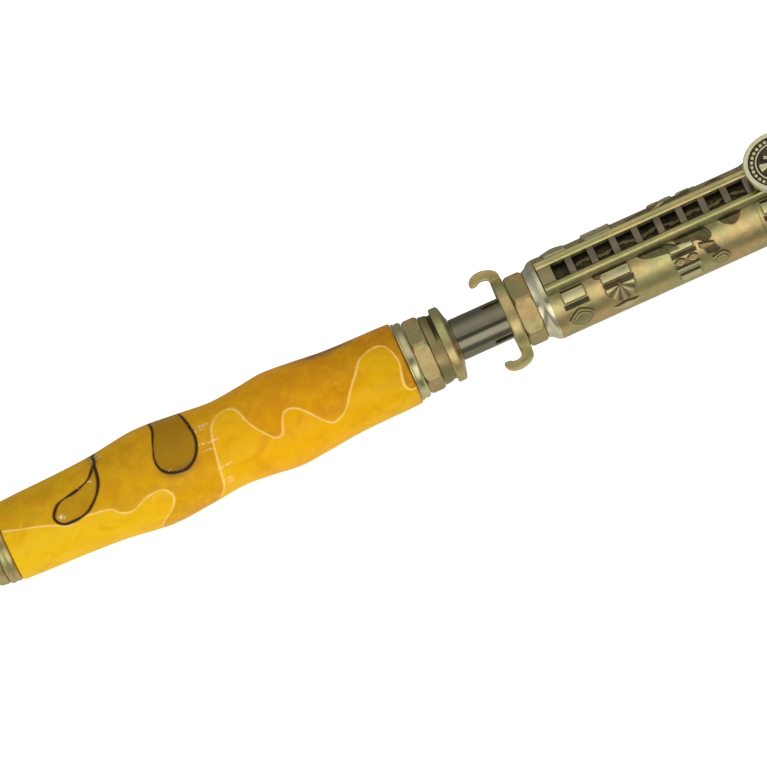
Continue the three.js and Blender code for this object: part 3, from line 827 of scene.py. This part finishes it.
def ornament(u, v):
    """The plates, leaves, sprigs, shell and sunk parts, on both sides of the clip."""
    height, patina_and_shade, worn = np.zeros(u.shape), np.zeros(u.shape), np.zeros(u.shape)
    for w in (wrapped(v), wrapped(2 * CLIP_AT - v)):  # the far side of the clip mirrors the near one
        for outline in PLATES:
            face = falling(-0.1, 0.16, filled(u, w, outline))
            height = np.maximum(height, RAISED * face)
            worn = np.maximum(worn, 0.55 * face)
        for leaf, dark in [(leaf, 0.75) for leaf in LEAVES] + [(sprig, 0.12) for sprig in SPRIGS]:
            away = filled(u, w, through([*leaf, leaf[0]], 5)[:-1].tolist())
            lobe = falling(-0.12, 0.16, away)
            crown = 0.75 + 0.35 * smoothstep(0, 0.5, -away)
            vein = 0.13 * falling(0.05, 0.16, np.abs(away + 0.34))
            height = np.maximum(height, (RAISED * crown - vein) * lobe)
            patina_and_shade = np.maximum(patina_and_shade, dark * lobe)
        middle, hinge, reach = SHELL
        out = np.hypot((u - middle) / 0.8, w - hinge)
        fan = np.arctan2((u - middle) / 0.8, hinge - w)
        shell = falling(reach - 0.25, reach, out) * (w < hinge)
        ribs = 0.5 + 0.5 * np.cos(9 * fan)
        height = np.maximum(height, RAISED * shell * (0.5 + 0.5 * ribs) * smoothstep(0, 0.5, out))
        patina_and_shade = np.maximum(patina_and_shade, 0.7 * shell * (1 - ribs))
        worn = np.maximum(worn, 0.5 * shell * ribs)
        for outline in BARS:
            sunk = falling(-0.12, 0.1, filled(u, w, outline))
            height = height - 0.2 * sunk
            patina_and_shade = np.maximum(patina_and_shade, 0.95 * sunk)
        sunk = falling(-0.2, 0.12, filled(u, w, HOLLOW))
        height = height - 0.25 * sunk
        patina_and_shade = np.maximum(patina_and_shade, 0.85 * sunk)
    return height, patina_and_shade, worn


def vine(u, below):
    """A wavy stem with leaves in its bends, along the underside."""
    wave = 1.5 * np.sin(u * 2 * math.pi / 11)
    shape = falling(0.28, 0.46, np.abs(below - wave))
    for k in range(6):
        side = 1 if k % 2 else -1
        leaf = np.hypot((u - 2.75 - 5.5 * k) / 1.6, (below - side) / 0.75)
        shape = np.maximum(shape, falling(0.8, 1.0, leaf))
    return RAISED * shape


def strands_under(u, from_clip):
    """The twisted strand that lies under the ladder, with a curl between every other pair of rungs."""
    hose = np.abs(from_clip - 0.3 * np.sin(u * 1.1)) / (0.5 + 0.12 * np.sin(u * 4.3))
    strands = 0.25 * np.sqrt(np.clip(1 - hose**2, 0, 1))
    curl = np.hypot((u % (2 * RUNG_STEP) - 5.6) / 0.8, (from_clip + 0.5) / 0.9)
    curl = 0.32 * falling(0.06, 0.2, np.abs(curl - 1)) * (from_clip < 0.1)
    return np.maximum(strands, curl) * smoothstep(4.9, 5.2, u)


def relief(u, v):
    """How far the cast surface stands over its ground, in millimetres, its patina with painted shade under
    and beside the clip, and how worn it is.
    """
    height, patina_and_shade, worn = ornament(u, v)
    height = np.maximum(height, vine(u, (v - CLIP_AT) % ROUND - ROUND / 2))
    from_clip = wrapped(v - CLIP_AT)
    near_clip = falling(2.95, 3.3, np.abs(from_clip))
    under = falling(1.9, 2.3, np.abs(from_clip))
    strands = strands_under(u, from_clip)
    height = height * (1 - near_clip) + under * (strands - 0.75)
    # Painted shade: the band under and beside the clip is darkened, and between the rails all but the
    # strands' crests.
    patina_and_shade = np.maximum(patina_and_shade, 0.5 * near_clip)
    return height, np.maximum(patina_and_shade, under * (1 - strands)), worn * (1 - near_clip)


def with_bands(r, u, first_width, last_width, length):
    """A smooth band at each end of a cast sleeve, the last with its edge eased."""
    band = falling(first_width, first_width + 0.1, u)
    band = np.maximum(band, smoothstep(length - last_width - 0.1, length - last_width, u))
    return r * (1 - band) + CAST_RADIUS * band - 0.05 * smoothstep(length - 0.1, length, u)


def notch(from_badge, turn):
    """The notch in the top of the clip mount for the clip's root, as a limit on the radius."""
    rise = np.sin(turn)
    limit = 4.7 / np.maximum(rise, 0.2)
    open_here = (rise > 0.2) & (np.abs(limit * np.cos(turn)) < 2.3) & (from_badge < 3.8)
    return np.where(open_here, limit, np.inf)


def cast_sleeve(name, node, start, end, pattern_start, rows, bore, bands, notched=False):
    """A length of the cast surface, whose pattern starts that far along the relief."""
    columns = 480
    u = np.linspace(0, end - start, rows)
    u_grid, v_grid = np.meshgrid(u, np.radians(angles_up(columns)) * CAST_RADIUS, indexing="ij")
    height, patina_and_shade, worn = relief(u_grid + pattern_start, v_grid)
    step = math.radians(360 / columns) * CAST_RADIUS
    # Painted shadow: the ground just above each raised form is darkened as its cast shadow, and the ground
    # all round it more faintly. It goes into the recess attribute with the patina.
    beside = np.roll(height, -round(0.25 / step), axis=1)
    shadow_by_relief = np.clip((beside - height - 0.03) / 0.12, 0, 0.9)
    shadow_by_relief = np.maximum(shadow_by_relief, np.clip((blurred(height, 3) - height - 0.03) / 0.1, 0, 0.5))
    r = with_bands(GROUND + height, u_grid, *bands, end - start)
    if notched:
        r = np.minimum(r, notch(u_grid + start - badge_at, angles(columns)[None, :]))
    made = rings(name, *bored(start + u, r, bore), "upper_half", "cast_brass", [node], sharp=60)
    set_attribute(made, "recess", np.maximum(shadow_by_relief, patina_and_shade))
    set_attribute(made, "worn", worn)


cast_start, cast_end = span("upper_barrel")
CAST_LENGTH = 32.9  # from the collar to the clip mount
mount_start = collar_end + CAST_LENGTH
mount_end = span("clip_mount")[1]
badge_at = sum(span("badge")) / 2
cast_sleeve("cast_barrel", "upper_barrel", cast_start, cast_end, 0, 404, 5.05, (1.0, 0.3))
cast_sleeve("clip_housing", "clip_mount", mount_start, mount_end, 1.2, 130, 2.1, (0.5, 0.9), notched=True)


def block(x0, x1, y0, y1, z0, z1, bevel):
    """A box with rounded edges. Heights are above the pen's axis."""
    outline = [(x0, y0), (x1, y0), (x1, y1), (x0, y1)]
    points, faces = prism(outline, z0, z1, lambda u, v, d: Vector((u, v, d + AXIS_HEIGHT)))
    return bevelled(points, faces, bevel)


for side, name in ((-1, "clip_ear_near"), (1, "clip_ear_far")):
    near, far = sorted((side * 2.3, side * 3.5))
    ear = block(badge_at - 1.3, badge_at + 1.3, near, far, 3.6, 7.75, 0.2)
    piece_from(name, *ear, "upper_half", "antique_brass", ["clip_mount"])


# ---- Ladder clip, badge and pin ----

clip_start = span("ladder_clip")[0]
clip_end = badge_at - 1.9
# The rails' section: heights over the pen's axis, and the half widths of the clip and of its opening.
RAIL_TOP, INNER_TOP, RAIL_BOTTOM, SKIRT = 6.9, 6.5, 6.25, 5.8
HALF_WIDTH, OPENING = 2.84, 1.39
INSET = OPENING + 0.2  # half the width of what fits between the rails, with its overlap
INSET_BOTTOM = RAIL_BOTTOM + 0.01


def rail(side):
    """One sloped rail, with a skirt down its outer side and a lip along the opening."""
    section = [
        (OPENING, RAIL_BOTTOM), (HALF_WIDTH - 0.45, RAIL_BOTTOM), (HALF_WIDTH - 0.35, SKIRT),
        (HALF_WIDTH, SKIRT), (HALF_WIDTH - 0.28, RAIL_TOP - 0.24), (HALF_WIDTH - 0.52, RAIL_TOP),
        (OPENING + 0.4, RAIL_TOP - 0.06), (OPENING + 0.13, INNER_TOP + 0.12), (OPENING, INNER_TOP - 0.03),
    ]

    def place(across, height, x):
        return Vector((x, side * across, height + AXIS_HEIGHT))

    return bevelled(*prism(section, clip_start, clip_end, place), 0.035, 2)


def clip_root():
    """The block that carries the badge and turns on the pin, cut back underneath over the spring."""
    outline = [
        (clip_end - 2.6, 6.24), (clip_end - 1.2, 5.3), (badge_at + 0.4, 5.3), (badge_at + 2.5, 5.68),
        (badge_at + 3.2, 5.95), (badge_at + 1.6, 8.4), (badge_at - 1.6, 8.4), (clip_end - 1.5, 6.49),
    ]

    def place(x, height, across):
        return Vector((x, across, height + AXIS_HEIGHT))

    return bevelled(*prism(outline, -2.0, 2.0, place), 0.12, 2)


def ladder_clip():
    """Two rails and the root in one, with the foot and nine rungs between the rails."""
    filling = block(clip_end - 2.6, clip_end - 0.02, -INSET, INSET, INSET_BOTTOM, 6.52, 0.05)
    parts = [rail(-1), rail(1), filling, clip_root()]
    united("ladder_rails", parts, "clip", "clip_brass", ["ladder_clip"], sharp=30)
    foot = block(clip_start + 0.02, clip_start + 2.1, -INSET, INSET, INSET_BOTTOM, 6.42, 0.04)
    piece_from("ladder_foot", *foot, "clip", "foot_brass", ["ladder_clip"])
    for k in range(9):
        middle = cast_start + FIRST_RUNG + RUNG_STEP * k
        rung = block(middle - 0.55, middle + 0.55, -1.6, 1.6, 6.1, 6.44, 0.12)
        piece_from(f"ladder_rung_{k + 1}", *rung, "clip", "rung_brass", ["ladder_clip"])


ladder_clip()

BADGE_FACE = 8.86  # the badge's ground, over the pen's axis


def dome(name, radii, top, replaced, bottom):
    """A round piece on the badge's axis with a flat underside, from its heights at each radius and angle."""
    columns = top.shape[1]
    turn, r = angles(columns), radii[:, None]
    ring = np.stack([badge_at + r * np.cos(turn), r * np.sin(turn), AXIS_HEIGHT + top], -1)
    base = ring[-1:].copy()
    base[..., 2] = AXIS_HEIGHT + bottom
    centres = [(badge_at, 0, ring[0, :, 2].mean()), (badge_at, 0, AXIS_HEIGHT + bottom)]
    points = np.vstack([ring.reshape(-1, 3), base.reshape(-1, 3), centres])
    faces = skin(len(radii) + 1, columns, flipped=True)
    return piece_from(name, points, faces, "clip", "badge_brass", replaced, sharp=60)


def badge_top(r, turn):
    """A raised rim, a band of beads, an inner ring and a rosette of four broad and four narrow petals."""
    beads, bead_circle, bead_size = 30, 3.72, 0.34
    rim = smoothstep(4.14, 4.28, r) * (1 - 0.55 * smoothstep(4.82, 5.0, r) ** 2)
    across = (turn * beads / (2 * math.pi) + 0.5) % 1 - 0.5
    bead = np.hypot(across * 2 * math.pi * bead_circle / beads, (r - bead_circle)) / bead_size
    height = BADGE_FACE + 0.42 * rim + 0.34 * np.sqrt(np.clip(1 - bead**2, 0, 1))
    height = height + 0.34 * falling(0.08, 0.2, np.abs(r - 3.1))
    for count, reach, width, tilt in ((4, 2.85, 0.62, 0), (4, 2.3, 0.3, 45)):
        offset = (turn * count / (2 * math.pi) - tilt * count / 360 + 0.5) % 1 - 0.5
        angle = offset * 2 * math.pi / count
        swell = width * (0.45 + 0.75 * smoothstep(0.9, reach - 0.2, r))
        side = np.abs(r * np.sin(angle)) / swell
        petal = falling(0.7, 1.0, side) * falling(reach - 0.25, reach, r)
        petal = petal * (np.cos(angle) > 0)
        crease = 0.10 * falling(0, 0.25, side) * petal
        height = np.maximum(height, BADGE_FACE + 0.36 * petal - crease)
    return height


def badge():
    """The medallion, dark in its hollows, and the rivet's head in its middle."""
    radii = np.concatenate([np.linspace(0.1, 4.95, 150), [4.985, 5.0]])
    top = badge_top(*np.meshgrid(radii, angles(360), indexing="ij"))
    disc = dome("badge_disc", radii, top, ["badge"], 8.35)
    recess = falling(0.05, 0.2, top - BADGE_FACE)
    set_attribute(disc, "recess", np.vstack([recess, recess[-1:]]))
    radii = np.linspace(0.05, 1.2, 24)
    crown = 9.55 - 0.62 * (radii / 1.2) ** 2.6
    dome("badge_stud", radii, np.repeat(crown[:, None], 96, axis=1), ["badge_rivet"], 8.7)


badge()


def cross_pin():
    """The clip's pivot pin, with domed ends."""
    low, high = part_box("clip_pivot_pin")
    middle = (low + high) / 2 / MM
    half = high.y / MM
    profile = softened([
        (-half, 0.05), (-half, 0.4), (-half + 0.12, 0.55), (half - 0.12, 0.55), (half, 0.4), (half, 0.05),
    ], 0.1)
    columns = 48
    turn = angles(columns)
    y = np.repeat(profile[:, :1], columns, axis=1)
    r = profile[:, 1:]
    grid = np.stack([middle.x + r * np.cos(turn), y, middle.z + r * np.sin(turn)], -1)
    centres = [(middle.x, -half, middle.z), (middle.x, half, middle.z)]
    points = np.vstack([grid.reshape(-1, 3), centres])
    faces = skin(len(profile), columns, flipped=True)
    piece_from("pivot_pin", points, faces, "upper_half", "steel", ["clip_pivot_pin"])


cross_pin()


# ---- Finial ----

finial_start = span("finial")[0]
finial_outline = [
    (0, 2.1), (0, 5.95), (0.2, CAST_RADIUS), (1.5, CAST_RADIUS), (1.7, 5.5), (2.2, 5.5), (2.4, 5.9),
    (4, 5.75), (5.4, 5.1), (6.4, 4.1), (6.9, 3.2), (7, 2.5), (7.9, 2.5), (8.3, 2.2), (8.3, 0.5),
]


def finial():
    """The cap at the top: a reeded band, a groove, a dome and a small flat button."""
    profile = softened([(finial_start + s, r) for s, r in finial_outline], 0.14)
    inner, outer = finial_start + 0.3, finial_start + 1.35
    band = np.stack([np.linspace(inner, outer, 12), np.full(12, CAST_RADIUS)], -1)
    split = np.searchsorted(profile[:, 0], inner)
    profile = np.vstack([profile[:split], band, profile[split:][profile[split:, 0] > outer]])
    x = profile[:, 0]
    reeded = smoothstep(inner, inner + 0.15, x) * falling(outer - 0.15, outer, x)
    r = profile[:, 1:] - 0.11 * reeded[:, None] * (0.5 + 0.5 * np.cos(40 * angles(480)))[None, :]
    rings("finial_cap", x, r, "upper_half", "antique_brass", ["finial"], solid=True)


finial()


# ---- CAD pieces that stay, out of sight inside the pen ----

hidden = {
    "lower_barrel_tube": "tube_brass", "upper_barrel_tube": "tube_brass", "mechanism_housing": "steel",
    "mechanism_cam": "black_plastic", "refill_carriage": "steel", "refill_adapter": "black_plastic",
    "refill_tube": "steel", "clip_spring": "steel", "finial_screw": "steel",
}
for node, finish in hidden.items():
    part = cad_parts[node]
    part.data.materials.clear()
    part.data.materials.append(finishes[finish])


# ---- Floor, light and camera ----


def floor():
    """A white table that throws most of its light onto the pen from right under it: the camera sees it
    evenly white, while reflections and bounce light see a painted pool of light in a strip right under the
    pen on a grey table.
    """
    half = 1.5
    corners = [(-half, -half, 0), (half, -half, 0), (half, half, 0), (-half, half, 0)]
    mesh = bpy.data.meshes.new("floor")
    mesh.from_pydata(corners, [], [(0, 1, 2, 3)])
    ground = bpy.data.objects.new("floor", mesh)
    scene.collection.objects.link(ground)
    s = Shader("floor", Roughness=0.8, Specular_IOR_Level=0.1)
    y = s.node("SeparateXYZ", {0: s.place}).outputs[1]
    # Painted light and shade: for all but camera rays the table is grey, with a bright strip right under the
    # pen that lights its underside and shows in its reflections.
    painted_light_pool = s.math("MULTIPLY", s.between(y, -0.024, -0.013), s.between(y, 0.003, 0.009, 1.0, 0.0))
    table = s.mix(painted_light_pool, (0.30, 0.30, 0.30), (0.95, 0.95, 0.94))
    seen = s.node("LightPath").outputs["Is Camera Ray"]
    s.set(s.surface, {"Base Color": s.mix(seen, table, (0.82, 0.82, 0.81))})
    glow = s.node("Emission", {"Color": (1, 1, 0.99, 1), "Strength": s.math("MULTIPLY", seen, 0.72)})
    both = s.node("AddShader", {0: s.surface.outputs[0], 1: glow.outputs[0]})
    s.tree.links.new(both.outputs[0], s.tree.nodes["Material Output"].inputs["Surface"])
    mesh.materials.append(s.material)


floor()

# The studio round the pen, as (degrees round it, brightness).
STUDIO = [
    (-180, 0.3), (-90, 0.4), (0, 0.22), (20, 0.28), (36, 0.4), (56, 0.66), (74, 0.85), (96, 0.72),
    (110, 0.6), (117, 0.2), (131, 0.2), (138, 1.0), (145, 1.4), (165, 1.4), (173, 0.95), (180, 0.4),
]
BEYOND_THE_ENDS = (0.5, 0.5, 0.5)
BACKDROP = (0.95, 0.95, 0.95)


def studio():
    """A world with bands of brightness round the pen, which fade to one grey past its ends."""
    world = bpy.data.worlds.new("studio")
    scene.world = world
    world.use_nodes = True
    s = Nodes(world.node_tree)
    x, y, z = s.node("SeparateXYZ", {0: s.node("TexCoord").outputs["Generated"]}).outputs
    share = s.node("MapRange", {0: s.math("ARCTAN2", z, y), 1: -math.pi, 2: math.pi}).outputs[0]
    ramp = s.node("ValToRGB", {0: share})
    stops = ramp.color_ramp.elements
    while len(stops) < len(STUDIO):
        stops.new(0.5)
    for stop, (angle, _) in zip(stops, STUDIO):
        stop.position = (angle + 180) / 360
    for stop, (_, level) in zip(stops, STUDIO):
        stop.color = (level, level, level * 0.99, 1)
    lit = s.mix(s.math("POWER", x, 4), ramp.outputs[0], BEYOND_THE_ENDS)
    seen = s.node("LightPath").outputs["Is Camera Ray"]
    s.set(s.tree.nodes["Background"], {"Color": s.mix(seen, lit, BACKDROP)})


studio()


def aimed(thing, centre, direction, distance, roll=0.0):
    """Puts a light or camera that far from a point, looking at it. roll tilts the pen up to the right."""
    back = direction.normalized()
    right = Vector((1, 0, 0))
    up = back.cross(right)
    turn = math.radians(roll)
    across = right * math.cos(turn) - up * math.sin(turn)
    upward = right * math.sin(turn) + up * math.cos(turn)
    facing = Matrix((across, upward, back)).transposed().to_4x4()
    thing.matrix_world = Matrix.Translation(centre + back * distance) @ facing


pen_middle = Vector((0, 0, AXIS_HEIGHT * MM))


def soft_light(name, degrees, energy):
    """A long soft light beside the pen, which its reflections don't show."""
    light = bpy.data.objects.new(name, bpy.data.lights.new(name, "AREA"))
    light.data.shape = "RECTANGLE"
    light.data.size, light.data.size_y = 0.5, 0.16
    light.data.energy = energy
    light.visible_glossy = False
    scene.collection.objects.link(light)
    aimed(light, pen_middle, outward(degrees), 0.6)


soft_light("key", 168, 1.7)
soft_light("fill", 35, 0.9)

camera = bpy.data.objects.new("camera", bpy.data.cameras.new("camera"))
scene.collection.objects.link(camera)
scene.camera = camera
camera.data.sensor_width = 36
camera.data.lens = 322.3
looked_at = pen_middle + Vector((-1.0, 0, 0)) * MM - outward(FACING - 90) * 1.37 * MM
aimed(camera, looked_at, outward(FACING), 1.0, 24.3)
scene.view_settings.view_transform = "Standard"
